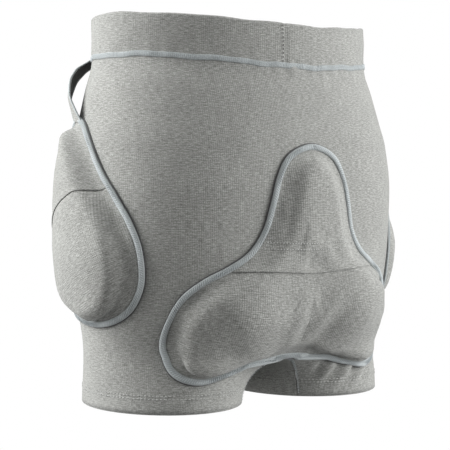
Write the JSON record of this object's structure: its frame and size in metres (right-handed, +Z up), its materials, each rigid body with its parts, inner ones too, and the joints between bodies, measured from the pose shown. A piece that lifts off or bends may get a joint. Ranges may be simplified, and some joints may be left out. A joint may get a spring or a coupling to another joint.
{
  "type": "padded impact shorts",
  "caption": "Stretch boxer shorts with a bound foam pad over each hip and a bell-shaped foam pad over the tailbone and buttocks; the foam inserts pull out of their pockets.",
  "frame": {"origin": "middle of the base of the worn shape, at the height of the two leg hems", "axes": "+Z up to the waist, +X towards the wearer's left, -Y towards the front"},
  "size_m": [0.3738, 0.246, 0.36],
  "materials": {
    "melange_knit": "matt heather grey jersey knit",
    "binding": "folded stretch tape, light blue grey, diagonal overlock stitches",
    "seam_thread": "flat lock stitch, light blue grey",
    "black_mesh": "matt black warp-knit mesh",
    "elastic": "woven ribbed elastic",
    "foam": "matt closed-cell foam with a fine skin"
  },
  "bodies": {
    "shorts": {"back_panel": "melange_knit", "front_panel": "melange_knit", "crotch_gusset": "melange_knit", "waistband_casing": "melange_knit", "waist_elastic": "elastic", "waist_seam_thread": "seam_thread", "leg_hem_left": "melange_knit", "leg_hem_right": "melange_knit", "hip_backing_left": "black_mesh", "hip_strap_left": "black_mesh", "hip_cover_upper_left": "melange_knit", "hip_cover_lower_left": "melange_knit", "hip_binding_left": "binding", "hip_backing_right": "black_mesh", "hip_strap_right": "black_mesh", "hip_cover_upper_right": "melange_knit", "hip_cover_lower_right": "melange_knit", "hip_binding_right": "binding", "tail_cover_upper": "melange_knit", "tail_cover_lower": "melange_knit", "tail_binding": "binding"},
    "hip_pad_left": {"hip_foam_left": "foam"},
    "hip_pad_right": {"hip_foam_right": "foam"},
    "tail_pad": {"tail_foam": "foam"}
  },
  "joints": [
    {"name": "hip_pad_left_removal", "type": "slide", "parent": "shorts", "child": "hip_pad_left", "axis": [0.866, 0, 0.5], "range_m": [0, 0.15], "deforming": ["hip_cover_upper_left", "hip_cover_lower_left"]},
    {"name": "hip_pad_right_removal", "type": "slide", "parent": "shorts", "child": "hip_pad_right", "axis": [-0.866, 0, 0.5], "range_m": [0, 0.15], "deforming": ["hip_cover_upper_right", "hip_cover_lower_right"]},
    {"name": "tail_pad_removal", "type": "slide", "parent": "shorts", "child": "tail_pad", "axis": [0, 0.866, 0.5], "range_m": [0, 0.18], "deforming": ["tail_cover_upper", "tail_cover_lower"]}
  ]
}
